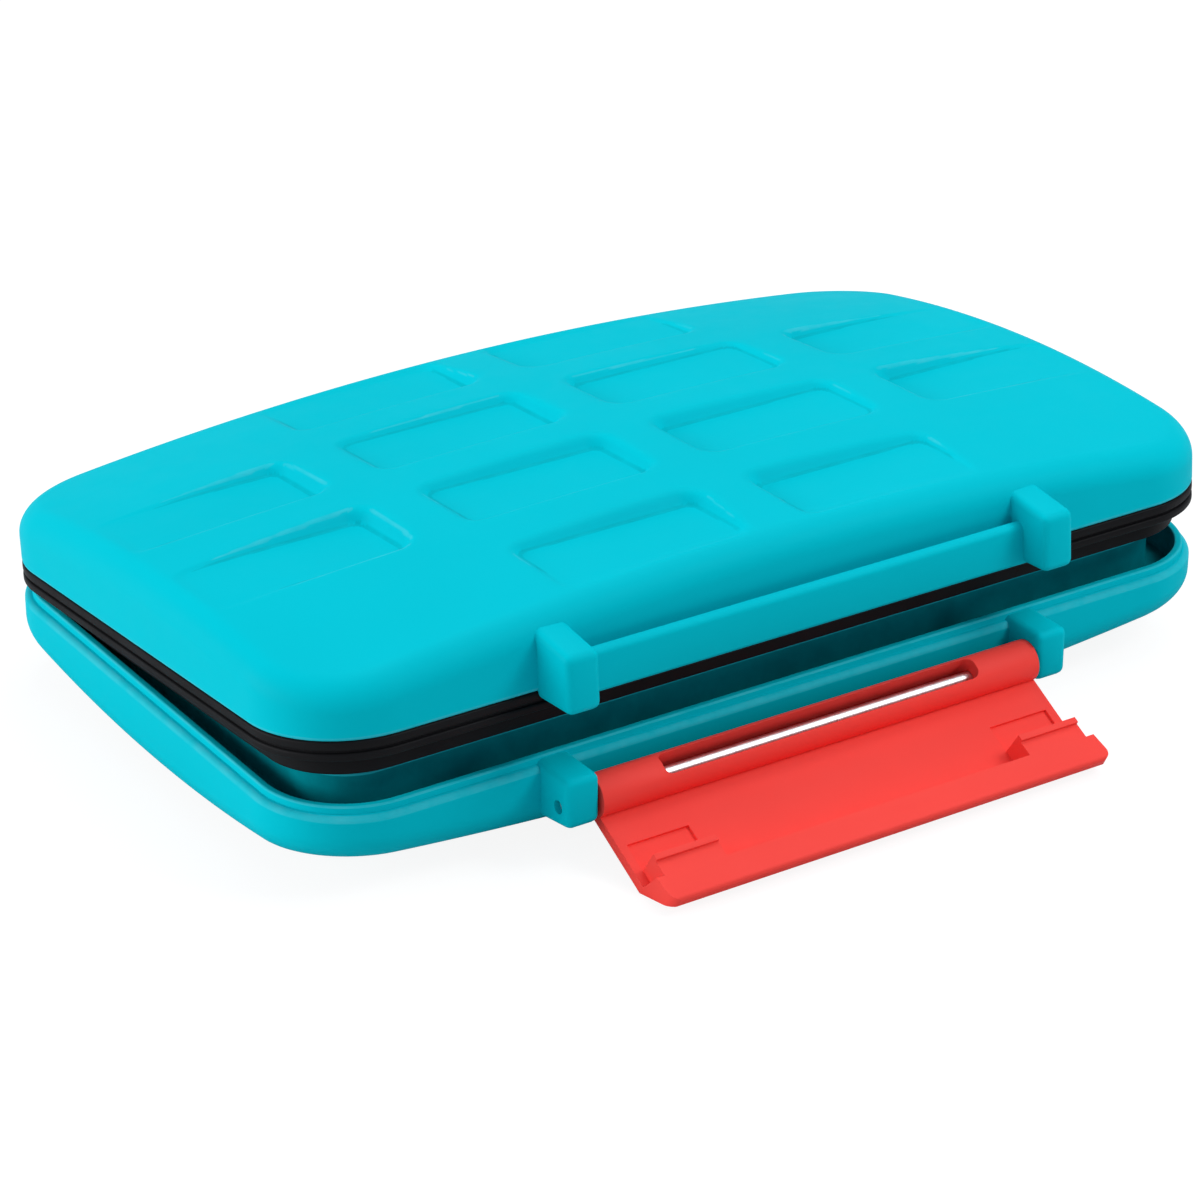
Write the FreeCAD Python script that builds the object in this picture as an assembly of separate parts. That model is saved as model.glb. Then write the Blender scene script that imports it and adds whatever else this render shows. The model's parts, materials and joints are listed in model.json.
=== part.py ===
import FreeCAD, Part
import math
import os

os.makedirs("parts", exist_ok=True)

Vector = FreeCAD.Vector
along_x = Vector(1, 0, 0)

# All sizes are in millimetres. The floor is z = 0, the hinge is at +Y, the latch at -Y.

# Outline shared by both shells
shell_length = 141.2
shell_width = 85.2
corner_radius = 13.2

# Base shell
rim_height = 12.1
base_crown_drop = 0.5
base_fall_x = 3.5
base_fall_y = 3.1
base_fall_corner = 0.9
base_edge_round = 3.5
base_floor_thickness = 2.2
rim_edge_round = 0.8
lip_setback = 1.0
lip_width = 1.05
lip_height = 1.05
lip_edge_round = 0.25
moat_width = 3.75
moat_depth = 3.2
tongue_width = 1.8
tongue_height = 3.0
tongue_edge_round = 0.5
tray_seat_depth = 3.5
tray_seat_width = 2.5

# Lid shell, heights above the lid rim
lid_crown_height = 13.7
lid_fall_x = 3.9
lid_fall_y = 2.5
lid_fall_corner = 1.4
lid_edge_round = 4.2
lid_top_thickness = 2.6
lid_rim_width = 5.0
lid_rim_round = 0.5
pad_seat_height = 4.6
pad_seat_width = 3.0
ajar_lift = 6.7

# Recesses in the lid top
recess_length = 28.8
recess_width = 14.5
recess_pitch_x = 35.8
recess_pitch_y = 21.7
recess_corner = 3.0
recess_draft = 1.2
recess_floor_round = 0.5
inner_recess_depth = 1.4
column_recess_depth = 1.7
row_recess_depth = 1.5

# Seal under the lid rim
seal_flange_height = 2.6
seal_flange_width = 4.5
seal_lip_clearance = 0.1
seal_skirt_inset = 2.5
seal_skirt_width = 1.6
seal_skirt_drop = 2.8
seal_bead_inset = 2.0
seal_bead_width = 1.4
seal_bead_height = 1.2
seal_groove_depth = 0.4
seal_groove_height = 0.35
seal_groove_drop = 1.2
seal_edge_round = 0.4

# Latch lugs on both shells
lug_width = 4.75
lug_side_clearance = 0.15
lug_edge_round = 0.7
base_lug_reach = 6.1
base_lug_rise = 0.7
base_lug_height = 6.7
base_lug_root_drop = 1.1
lid_lug_reach = 6.9
lid_lug_drop = 1.1
lid_lug_height = 7.65
lid_lug_top_rise = 1.75
lid_lug_root = 2.5
lug_root = 1.2

# Strike ledge between the lid lugs
ledge_reach = 2.5
ledge_drop = 1.25
ledge_front_height = 4.2
ledge_back_height = 5.0
ledge_edge_round = 0.6
ledge_groove_width = 0.5
ledge_groove_depth = 0.7

# Latch
latch_length = 66.6
latch_axis_reach = 3.9
latch_axis_drop = 3.6
latch_open_drop = 28.0
latch_closed_lean = 4.7
barrel_radius = 2.75
plate_under = 2.5
plate_thickness = 1.43
plate_bend = 13.2
tip_reach = 18.7
tip_under_rise = 1.8
tip_top_reach = 18.85
tip_top_rise = 3.4
tip_corner = 1.6
latch_lip_reach = 14.6
latch_lip_rise = 2.65
latch_lip_draft = 1.2
latch_edge_round = 0.5
hook_length = 9.0
hook_end_inset = 1.2
hook_clearance = 0.15
hook_seat_clearance = 0.25
hook_engagement = 0.7
hook_root_draft = 0.45
hook_pocket_length = 4.0
hook_pocket_depth = 0.4
slot_length = 48.0
slot_width = 3.1
slot_corner = 1.0

# Pins
latch_pin_radius = 0.9
latch_pin_recess = 0.7
hinge_pin_radius = 1.0
hinge_pin_recess = 0.5
running_clearance = 0.05
pin_chamfer = 0.2

# Rear hinge
hinge_reach = 3.5
hinge_end_inset = 28.0
knuckle_radius = 2.9
lid_knuckle_length = 12.0
base_knuckle_length = 8.0
knuckle_gap = 0.4
gusset_height = 4.6
lid_gusset_height = 5.2
gusset_root = 1.2
gusset_angle = 20.0

# Card tray and lid pad
tray_clearance = 0.15
tray_top = 2.4
card_pocket_length = 32.6
card_pocket_width = 24.6
card_pocket_depth = 4.6
card_pocket_corner = 1.0
card_pitch_x = 30.2
card_pitch_y = 34.3
card_columns = 4
card_rows = 2
finger_notch_radius = 6.5
pad_drop = 0.9
press_pad_length = 26.0
press_pad_width = 18.0
press_pad_corner = 2.5
press_pad_rise = 0.7

# Places worked out from the sizes above
front_wall = -shell_width / 2
rear_wall = shell_width / 2
closed_gap = lip_height + seal_lip_clearance + seal_flange_height
lid_rim = rim_height + closed_gap
moat_inset = lip_setback + lip_width
tongue_inset = moat_inset + moat_width
cavity_inset = tongue_inset + tongue_width
lug_inner = latch_length / 2 + lug_side_clearance
latch_axis_y = front_wall - latch_axis_reach
latch_axis_z = rim_height - latch_axis_drop
hinge_y = rear_wall + hinge_reach
hinge_z = rim_height + closed_gap / 2
ledge_front = front_wall - ledge_reach
ajar_angle = math.degrees(math.asin(ajar_lift / (hinge_y - ledge_front)))
reach_past = rim_height + lid_crown_height
touch = corner_radius / 1000


def rounded_prism(length, width, radius, low, high, centre_x=0.0, centre_y=0.0):
    """Upright prism over a rectangle with round corners."""
    edges = []
    half_x = length / 2
    half_y = width / 2
    corners = [(1, 1, 0), (-1, 1, 90), (-1, -1, 180), (1, -1, 270)]
    points = []
    for side_x, side_y, start in corners:
        centre = Vector(side_x * (half_x - radius), side_y * (half_y - radius), 0)
        arc_points = []
        for turn in (0, 45, 90):
            angle = math.radians(start + turn)
            arc_points.append(centre + Vector(radius * math.cos(angle), radius * math.sin(angle), 0))
        points.append(arc_points)
    for index in range(4):
        here = points[index]
        after = points[(index + 1) % 4]
        edges.append(Part.Arc(here[0], here[1], here[2]).toShape())
        edges.append(Part.LineSegment(here[2], after[0]).toShape())
    face = Part.Face(Part.Wire(edges))
    face.translate(Vector(centre_x, centre_y, low))
    return face.extrude(Vector(0, 0, high - low))


def outline_prism(inset, low, high):
    """Prism over the shell outline drawn in by an inset."""
    return rounded_prism(shell_length - 2 * inset, shell_width - 2 * inset,
                         corner_radius - inset, low, high)


def outline_ring(outer_inset, width, low, high):
    """Ring that follows the shell outline."""
    outer = outline_prism(outer_inset, low, high)
    return outer.cut(outline_prism(outer_inset + width, low, high))


def dome_face(crown, fall_x, fall_y, fall_corner):
    """Curved face z = crown - fall_x X^2 - fall_y Y^2 - fall_corner X^2 Y^2 with X, Y = 1 at the walls."""
    overhang = 1.1
    square = overhang * overhang
    signs = (1, -1, 1)
    surface = Part.BezierSurface()
    surface.increase(2, 2)
    for row in range(3):
        for column in range(3):
            in_x = square * signs[row]
            in_y = square * signs[column]
            height = crown - fall_x * in_x - fall_y * in_y - fall_corner * in_x * in_y
            x = (row - 1) * overhang * shell_length / 2
            y = (column - 1) * overhang * shell_width / 2
            surface.setPole(row + 1, column + 1, Vector(x, y, height))
    return surface.toShape()


def dome_height(x, y):
    """Height of the lid top above the lid rim."""
    in_x = (2 * x / shell_length) ** 2
    in_y = (2 * y / shell_width) ** 2
    return lid_crown_height - lid_fall_x * in_x - lid_fall_y * in_y - lid_fall_corner * in_x * in_y


def bar_from_profile(points, x_from, x_to):
    """Bar along X over a closed (y, z) profile."""
    corners = [Vector(x_from, y, z) for y, z in points]
    wire = Part.makePolygon(corners + [corners[0]])
    return Part.Face(wire).extrude(Vector(x_to - x_from, 0, 0))


def block(x_from, x_to, y_from, y_to, low, high):
    return Part.makeBox(x_to - x_from, y_to - y_from, high - low, Vector(x_from, y_from, low))


def rod(radius, x_from, x_to, y, z):
    return Part.makeCylinder(radius, x_to - x_from, Vector(x_from, y, z), along_x)


def edges_where(shape, test):
    return [edge for edge in shape.Edges if all(test(vertex.Point) for vertex in edge.Vertexes)]


def edges_at(shape, level):
    """Edges whose ends lie at one height."""
    return edges_where(shape, lambda p: abs(p.z - level) < touch)


def latch_profile_points(points):
    """Turns (along plate, above plate) latch points into (y, z) with the latch open as it rests."""
    drop = math.radians(latch_open_drop)
    turned = []
    for along, above in points:
        y = latch_axis_y - along * math.cos(drop) - above * math.sin(drop)
        z = latch_axis_z - along * math.sin(drop) + above * math.cos(drop)
        turned.append((y, z))
    return turned


def latch_prism(length, width, corner, reach):
    """Prism with round corners, square to the open latch's plate and centred on the latch axis."""
    body = rounded_prism(length, width, corner, -reach, reach)
    body.rotate(Vector(0, 0, 0), along_x, latch_open_drop)
    body.translate(Vector(0, latch_axis_y, latch_axis_z))
    return body


def seen_by_closed_latch(y, z):
    """Where a (y, z) point lies along and above the plate of the closed latch."""
    lean = math.radians(latch_closed_lean)
    from_y = y - latch_axis_y
    from_z = z - latch_axis_z
    along = from_z * math.cos(lean) - from_y * math.sin(lean)
    above = from_y * math.cos(lean) + from_z * math.sin(lean)
    return along, above


def opened_point(y, z):
    """Where a (y, z) point of the closed lid lies with the lid ajar."""
    turn = math.radians(ajar_angle)
    from_y = y - hinge_y
    from_z = z - hinge_z
    new_y = hinge_y + from_y * math.cos(turn) + from_z * math.sin(turn)
    new_z = hinge_z - from_y * math.sin(turn) + from_z * math.cos(turn)
    return new_y, new_z


def ajar(shape):
    """Turns a piece of the closed lid to the ajar rest pose."""
    turned = shape.copy()
    turned.rotate(Vector(0, hinge_y, hinge_z), Vector(-1, 0, 0), ajar_angle)
    return turned


def save(shape, name):
    clean = shape.removeSplitter()
    if len(clean.Solids) != 1 or not clean.isValid():
        raise RuntimeError(name + " is not one sound solid")
    clean.Solids[0].exportStep("parts/" + name + ".step")


def rounded_lug(profile, x_from):
    """Lug over a (y, z) profile with its free edges rounded."""
    lug = bar_from_profile(profile, x_from, x_from + lug_width)
    front = min(y for y, z in profile)
    free_edges = [edge for edge in lug.Edges if edge.BoundBox.YMin < front + touch]
    return lug.makeFillet(lug_edge_round, free_edges)


def hinge_spans():
    """X spans of the knuckles in each hinge group: base, lid, base."""
    spans = []
    for side in (-1, 1):
        middle = side * (shell_length / 2 - hinge_end_inset)
        lid_half = lid_knuckle_length / 2
        left = (middle - lid_half - knuckle_gap - base_knuckle_length, middle - lid_half - knuckle_gap)
        right = (middle + lid_half + knuckle_gap, middle + lid_half + knuckle_gap + base_knuckle_length)
        spans.append((left, (middle - lid_half, middle + lid_half), right))
    return spans


def base_knuckle(x_from, x_to):
    gusset = [(rear_wall - gusset_root, rim_height - gusset_height),
              (rear_wall - gusset_root, rim_height),
              (rear_wall, rim_height),
              (hinge_y, hinge_z),
              (hinge_y + knuckle_radius * math.cos(math.radians(gusset_angle)),
               hinge_z - knuckle_radius * math.sin(math.radians(gusset_angle)))]
    return bar_from_profile(gusset, x_from, x_to).fuse(rod(knuckle_radius, x_from, x_to, hinge_y, hinge_z))


def lid_knuckle(x_from, x_to):
    gusset = [(rear_wall - gusset_root, lid_rim + lid_gusset_height),
              (rear_wall - gusset_root, lid_rim),
              (rear_wall, lid_rim),
              (hinge_y, hinge_z),
              (hinge_y + knuckle_radius * math.cos(math.radians(gusset_angle)),
               hinge_z + knuckle_radius * math.sin(math.radians(gusset_angle)))]
    return bar_from_profile(gusset, x_from, x_to).fuse(rod(knuckle_radius, x_from, x_to, hinge_y, hinge_z))


def build_base_shell():
    underside = dome_face(-base_crown_drop, -base_fall_x, -base_fall_y, -base_fall_corner)
    body = underside.extrude(Vector(0, 0, reach_past + rim_height))
    body = body.common(outline_prism(0, 0, rim_height))
    wall_foot = rim_height - base_edge_round / 4
    low_edges = edges_where(body, lambda p: touch < p.z < wall_foot)
    body = body.makeFillet(base_edge_round, low_edges)
    top_edges = edges_at(body, rim_height)
    body = body.makeFillet(rim_edge_round, top_edges)

    lip_top = rim_height + lip_height
    lip = outline_ring(lip_setback, lip_width, rim_height - moat_depth, lip_top)
    lip = lip.makeFillet(lip_edge_round, edges_at(lip, lip_top))
    tongue_top = rim_height + tongue_height
    tongue = outline_ring(tongue_inset, tongue_width, rim_height - tray_seat_depth, tongue_top)
    tongue = tongue.makeFillet(tongue_edge_round, edges_at(tongue, tongue_top))
    for side in (-1, 1):
        x_from = min(side * lug_inner, side * (lug_inner + lug_width))
        lug_top = rim_height + base_lug_rise
        lug_foot = lug_top - base_lug_height
        lug_profile = [(front_wall - base_lug_reach, lug_foot),
                       (front_wall - base_lug_reach, lug_top),
                       (front_wall + lug_root, lug_top),
                       (front_wall + lug_root, lug_foot - base_lug_root_drop)]
        body = body.fuse(rounded_lug(lug_profile, x_from))
    for left, middle, right in hinge_spans():
        body = body.fuse(base_knuckle(left[0], left[1]))
        body = body.fuse(base_knuckle(right[0], right[1]))

    moat = outline_ring(moat_inset, moat_width, rim_height - moat_depth, rim_height + reach_past)
    tray_room = outline_prism(cavity_inset, rim_height - tray_seat_depth, rim_height + reach_past)
    hollow_floor = underside.copy()
    hollow_floor.translate(Vector(0, 0, base_floor_thickness))
    hollow = hollow_floor.extrude(Vector(0, 0, reach_past))
    hollow = hollow.common(outline_prism(cavity_inset + tray_seat_width, base_floor_thickness,
                                         rim_height - tray_seat_depth / 2))
    body = body.fuse([lip, tongue])
    body = body.cut(moat)
    body = body.cut(tray_room)
    body = body.cut(hollow)
    for side in (-1, 1):
        x_from = min(side * lug_inner, side * (lug_inner + lug_width))
        body = body.cut(rod(latch_pin_radius, x_from - lug_side_clearance,
                            x_from + lug_width + lug_side_clearance, latch_axis_y, latch_axis_z))
    for left, middle, right in hinge_spans():
        body = body.cut(rod(hinge_pin_radius, left[0] - knuckle_gap, right[1] + knuckle_gap,
                            hinge_y, hinge_z))
    return body


def recess_tool(centre_x, centre_y, depth):
    """Drafted rounded pocket with a level floor, below the dome at its corner nearest the lid centre."""
    near_x = abs(centre_x) - recess_length / 2
    near_y = abs(centre_y) - recess_width / 2
    floor = dome_height(near_x, near_y) - depth
    top_rise = lid_crown_height + depth - floor
    widening = recess_draft * top_rise / depth
    floor_shape = rounded_prism(recess_length - 2 * recess_draft, recess_width - 2 * recess_draft,
                                recess_corner - recess_draft, 0, depth)
    top_shape = rounded_prism(recess_length - 2 * recess_draft + 2 * widening,
                              recess_width - 2 * recess_draft + 2 * widening,
                              recess_corner - recess_draft + widening, 0, depth)
    floor_wire = edge_loop_at(floor_shape, 0)
    top_wire = edge_loop_at(top_shape, 0)
    floor_wire.translate(Vector(centre_x, centre_y, lid_rim + floor))
    top_wire.translate(Vector(centre_x, centre_y, lid_rim + floor + top_rise))
    tool = Part.makeLoft([floor_wire, top_wire], True, True)
    return tool.makeFillet(recess_floor_round, edges_at(tool, lid_rim + floor))


def edge_loop_at(prism, height):
    for face in prism.Faces:
        box = face.BoundBox
        if box.ZLength < touch and abs(box.ZMin - height) < touch:
            return face.OuterWire.copy()
    raise RuntimeError("no level face found")


def recess_places():
    """Centres and depths: four by four cells without the four corner cells."""
    places = []
    for column in (-1.5, -0.5, 0.5, 1.5):
        for row in (-1.5, -0.5, 0.5, 1.5):
            outer_column = abs(column) > 1
            outer_row = abs(row) > 1
            if outer_column and outer_row:
                continue
            depth = inner_recess_depth
            if outer_column:
                depth = column_recess_depth
            if outer_row:
                depth = row_recess_depth
            places.append((column * recess_pitch_x, row * recess_pitch_y, depth))
    return places


def build_lid_shell():
    dome = dome_face(lid_crown_height, lid_fall_x, lid_fall_y, lid_fall_corner)
    dome.translate(Vector(0, 0, lid_rim))
    body = dome.extrude(Vector(0, 0, -lid_crown_height - reach_past))
    body = body.common(outline_prism(0, lid_rim, lid_rim + reach_past))
    top_edges = edges_where(body, lambda p: p.z > lid_rim + lid_rim_round)
    body = body.makeFillet(lid_edge_round, top_edges)
    body = body.makeFillet(lid_rim_round, edges_at(body, lid_rim))
    for centre_x, centre_y, depth in recess_places():
        body = body.cut(recess_tool(centre_x, centre_y, depth))

    for side in (-1, 1):
        x_from = min(side * lug_inner, side * (lug_inner + lug_width))
        lug_foot = lid_rim - lid_lug_drop
        lug_top = lug_foot + lid_lug_height
        lug_profile = [(front_wall - lid_lug_reach, lug_foot),
                       (front_wall - lid_lug_reach, lug_top),
                       (front_wall + lid_lug_root, lug_top + lid_lug_top_rise),
                       (front_wall + lid_lug_root, lug_foot)]
        body = body.fuse(rounded_lug(lug_profile, x_from))
    ledge_profile = [(ledge_front, lid_rim - ledge_drop),
                     (ledge_front, lid_rim + ledge_front_height),
                     (front_wall, lid_rim + ledge_back_height),
                     (front_wall + lug_root, lid_rim + ledge_back_height),
                     (front_wall + lug_root, lid_rim - ledge_drop)]
    ledge = bar_from_profile(ledge_profile, -lug_inner, lug_inner)
    ledge = ledge.makeFillet(ledge_edge_round, front_edges(ledge, ledge_front))
    body = body.fuse(ledge)
    ledge_back = lid_rim + ledge_back_height
    body = body.cut(block(-lug_inner, lug_inner, front_wall - ledge_groove_width, front_wall,
                          ledge_back - ledge_groove_depth, ledge_back + ledge_groove_depth))
    for left, middle, right in hinge_spans():
        body = body.fuse(lid_knuckle(middle[0], middle[1]))
    under_rim = outline_prism(0, lid_rim - lid_lug_drop - ledge_drop, lid_rim)
    body = body.cut(under_rim)

    pad_room = outline_prism(lid_rim_width, lid_rim - lid_lug_drop, lid_rim + pad_seat_height)
    ceiling = dome.copy()
    ceiling.translate(Vector(0, 0, -lid_top_thickness))
    hollow = ceiling.extrude(Vector(0, 0, -lid_crown_height - reach_past))
    hollow = hollow.common(outline_prism(lid_rim_width + pad_seat_width, lid_rim + pad_seat_height / 2,
                                         lid_rim + lid_crown_height))
    bead_slot = outline_ring(seal_bead_inset, seal_bead_width, lid_rim - lid_lug_drop,
                             lid_rim + seal_bead_height)
    body = body.cut(pad_room)
    body = body.cut(hollow)
    body = body.cut(bead_slot)
    for left, middle, right in hinge_spans():
        body = body.cut(rod(hinge_pin_radius + running_clearance, middle[0] - knuckle_gap,
                            middle[1] + knuckle_gap, hinge_y, hinge_z))
    return body


def front_edges(bar, front):
    """Long edges along X that lie on the front plane of a bar."""
    found = []
    for edge in bar.Edges:
        box = edge.BoundBox
        if box.YMax < front + touch and box.ZLength < touch:
            found.append(edge)
    return found


def build_lid_seal():
    low = lid_rim - seal_flange_height
    flange = outline_ring(0, seal_flange_width, low, lid_rim)
    groove_top = lid_rim - seal_groove_drop
    flange = flange.cut(outline_ring(0, seal_groove_depth, groove_top - seal_groove_height, groove_top))
    skirt_low = low - seal_skirt_drop
    skirt = outline_ring(seal_skirt_inset, seal_skirt_width, skirt_low, low)
    skirt = skirt.makeFillet(seal_edge_round, edges_at(skirt, skirt_low))
    bead = outline_ring(seal_bead_inset, seal_bead_width, lid_rim, lid_rim + seal_bead_height)
    return flange.fuse([skirt, bead])


def build_latch():
    half = latch_length / 2
    plate_top = plate_thickness - plate_under
    plate = [(0, -plate_under),
             (plate_bend, -plate_under),
             (tip_reach, tip_under_rise),
             (tip_top_reach, tip_top_rise),
             (latch_lip_reach, latch_lip_rise),
             (latch_lip_reach - latch_lip_draft, plate_top),
             (0, plate_top)]
    body = bar_from_profile(latch_profile_points(plate), -half, half)
    tip_y = latch_profile_points([(tip_reach, tip_under_rise)])[0][0] + latch_edge_round
    tip_edges = [edge for edge in body.Edges
                 if edge.BoundBox.YMax < tip_y and edge.BoundBox.YLength < touch]
    body = body.makeFillet(latch_edge_round, tip_edges)
    body = body.common(latch_prism(latch_length, 2 * tip_top_reach, tip_corner, tip_top_reach))
    body = body.fuse(rod(barrel_radius, -half, half, latch_axis_y, latch_axis_z))

    catch_along, catch_above = seen_by_closed_latch(ledge_front, lid_rim + ledge_front_height)
    pass_y, pass_z = opened_point(ledge_front, lid_rim - ledge_drop)
    pass_along, pass_above = seen_by_closed_latch(pass_y, pass_z)
    hook_under = catch_along + hook_seat_clearance
    hook_top = pass_along - hook_clearance
    hook_tip = catch_above + hook_engagement
    hook_back = pass_above - hook_clearance
    hook = [(hook_under - hook_root_draft, plate_top - plate_thickness / 2),
            (hook_under - hook_root_draft, plate_top),
            (hook_under, hook_tip),
            (hook_top, hook_tip),
            (hook_top, hook_back),
            (latch_lip_reach, latch_lip_rise),
            (latch_lip_reach - latch_lip_draft, plate_top - plate_thickness / 2)]
    pocket_from = hook_under - hook_root_draft - hook_pocket_length
    pocket = [(pocket_from, plate_top - hook_pocket_depth),
              (hook_under - hook_root_draft, plate_top - hook_pocket_depth),
              (hook_under - hook_root_draft, plate_top + hook_pocket_depth),
              (pocket_from, plate_top + hook_pocket_depth)]
    for side in (-1, 1):
        outer = side * (half - hook_end_inset)
        inner = outer - side * hook_length
        x_from = min(outer, inner)
        body = body.cut(bar_from_profile(latch_profile_points(pocket), x_from, x_from + hook_length))
        body = body.fuse(bar_from_profile(latch_profile_points(hook), x_from, x_from + hook_length))

    body = body.cut(latch_prism(slot_length, slot_width, slot_corner, 2 * barrel_radius))
    bore = rod(latch_pin_radius + running_clearance, -lug_inner, lug_inner, latch_axis_y, latch_axis_z)
    return body.cut(bore)


def pin(radius, x_from, x_to, y, z):
    body = rod(radius, x_from, x_to, y, z)
    ends = [edge for edge in body.Edges if edge.BoundBox.XLength < touch]
    return body.makeChamfer(pin_chamfer, ends)


def card_places():
    places = []
    for column in range(card_columns):
        for row in range(card_rows):
            x = (column - (card_columns - 1) / 2) * card_pitch_x
            y = (row - (card_rows - 1) / 2) * card_pitch_y
            places.append((x, y))
    return places


def build_base_card_tray():
    top = rim_height + tray_top
    body = outline_prism(cavity_inset + tray_clearance, rim_height - tray_seat_depth, top)
    for x, y in card_places():
        pocket = rounded_prism(card_pocket_width, card_pocket_length, card_pocket_corner,
                               top - card_pocket_depth, top + card_pocket_depth, x, y)
        body = body.cut(pocket)
        notch_foot = Vector(x, 0, top - card_pocket_depth)
        notch = Part.makeCylinder(finger_notch_radius, 2 * card_pocket_depth, notch_foot)
        body = body.cut(notch)
    return body


def build_lid_card_pad():
    low = lid_rim + pad_drop
    body = outline_prism(lid_rim_width + tray_clearance, low, lid_rim + pad_seat_height)
    for x, y in card_places():
        body = body.fuse(rounded_prism(press_pad_width, press_pad_length, press_pad_corner,
                                       low - press_pad_rise, low, x, y))
    return body


save(build_base_shell(), "base_shell")
save(ajar(build_lid_shell()), "lid_shell")
save(ajar(build_lid_seal()), "lid_seal")
save(build_latch(), "latch")
save(build_base_card_tray(), "base_card_tray")
save(ajar(build_lid_card_pad()), "lid_card_pad")
latch_pin_end = lug_inner + lug_width - latch_pin_recess
save(pin(latch_pin_radius, -latch_pin_end, latch_pin_end, latch_axis_y, latch_axis_z), "latch_pin")
for spans, word in zip(hinge_spans(), ("left", "right")):
    left_end = spans[0][0] + hinge_pin_recess
    right_end = spans[2][1] - hinge_pin_recess
    save(pin(hinge_pin_radius, left_end, right_end, hinge_y, hinge_z), "hinge_pin_" + word)
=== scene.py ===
"""Dresses the hinged memory card case: soft-edged shells, seal, latch, card tray and a plain studio."""

import json
import math

import bmesh
import bpy
import numpy as np
from mathutils import Matrix, Vector


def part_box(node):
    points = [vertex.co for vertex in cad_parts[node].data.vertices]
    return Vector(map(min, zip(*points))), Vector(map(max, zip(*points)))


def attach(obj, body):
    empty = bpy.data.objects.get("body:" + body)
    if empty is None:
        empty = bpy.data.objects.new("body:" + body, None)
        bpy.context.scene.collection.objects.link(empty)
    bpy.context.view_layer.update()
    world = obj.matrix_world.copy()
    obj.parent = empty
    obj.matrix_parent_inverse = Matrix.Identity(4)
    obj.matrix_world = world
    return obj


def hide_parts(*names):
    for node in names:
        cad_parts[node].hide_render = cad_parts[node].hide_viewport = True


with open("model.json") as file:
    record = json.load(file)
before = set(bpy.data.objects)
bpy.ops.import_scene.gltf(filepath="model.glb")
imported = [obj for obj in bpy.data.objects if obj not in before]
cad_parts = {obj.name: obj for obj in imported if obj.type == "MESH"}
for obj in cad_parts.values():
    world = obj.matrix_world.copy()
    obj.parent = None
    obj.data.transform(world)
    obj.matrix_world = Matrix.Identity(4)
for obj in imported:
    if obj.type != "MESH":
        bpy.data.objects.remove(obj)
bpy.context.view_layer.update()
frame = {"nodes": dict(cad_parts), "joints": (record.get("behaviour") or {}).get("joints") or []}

bl_info = {
    "name": "Memory Card Case",
    "version": (1, 0, 0),
    "blender": (4, 5, 0),
    "location": "View3D > Sidebar > Card Case",
    "description": "Builds the looks of a hinged memory card case around its packed frame",
    "category": "Object",
}

MM = 0.001
# Distances in metres under which points count as one
SAME_PLACE = 1e-6
WELD_GAP = 1e-7
# Edges that bend more than this stay sharp in the shading
SMOOTH_ANGLE = math.radians(32)
JOINTS = {joint["name"]: joint for joint in frame["joints"]}
LID_LOW, LID_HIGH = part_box("lid_shell")


def length(name, description, millimetres):
    """A length property given in millimetres and kept in metres."""
    return bpy.props.FloatProperty(name=name, description=description, default=millimetres * MM, min=0.0,
                                   unit="LENGTH", subtype="DISTANCE", precision=5)


def colour(name, description, red, green, blue):
    """A colour property in linear light."""
    return bpy.props.FloatVectorProperty(name=name, description=description, default=(red, green, blue),
                                         min=0.0, max=1.0, size=3, subtype="COLOR")


class CardCaseShellSizes(bpy.types.PropertyGroup):
    """Sizes of both shells."""
    length: length("Length", "Shell length along X", (LID_HIGH[0] - LID_LOW[0]) / MM)
    width: length("Width", "Shell width along Y", 85.2)
    corner: length("Corner radius", "Radius of the outline's corners", 13.2)
    rim_height: length("Rim height", "Top of the base's outer wall above the floor", 12.1)
    closed_gap: length("Closed gap", "Gap between the rims of the closed shells", 3.75)
    base_round: length("Base edge rounding", "Rounding under the base", 3.5)
    base_crown: length("Base crown", "How far the curve of the underside would pass below its flat", 0.5)
    base_fall_x: length("Base end rise", "Rise of the underside at the ends", 3.5)
    base_fall_y: length("Base side rise", "Rise of the underside at the sides", 3.1)
    base_fall_corner: length("Base corner rise", "Further rise of the underside at the corners", 0.9)
    rim_round: length("Rim rounding", "Rounding of the base's outer rim edge", 0.8)
    lip_setback: length("Lip setback", "Width of the shoulder outside the sealing lip", 1.0)
    lip_width: length("Lip width", "Width of the raised sealing lip", 1.05)
    lip_height: length("Lip height", "Height of the sealing lip above the rim", 1.05)
    moat_width: length("Moat width", "Width of the groove that takes the seal's skirt", 3.75)
    moat_depth: length("Moat depth", "Depth of that groove below the rim", 3.2)
    tongue_width: length("Tongue width", "Thickness of the inner wall", 1.8)
    tongue_height: length("Tongue height", "Height of the inner wall above the rim", 3.0)
    seat_depth: length("Tray seat depth", "Depth of the tray's seat below the rim", 3.5)


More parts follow.
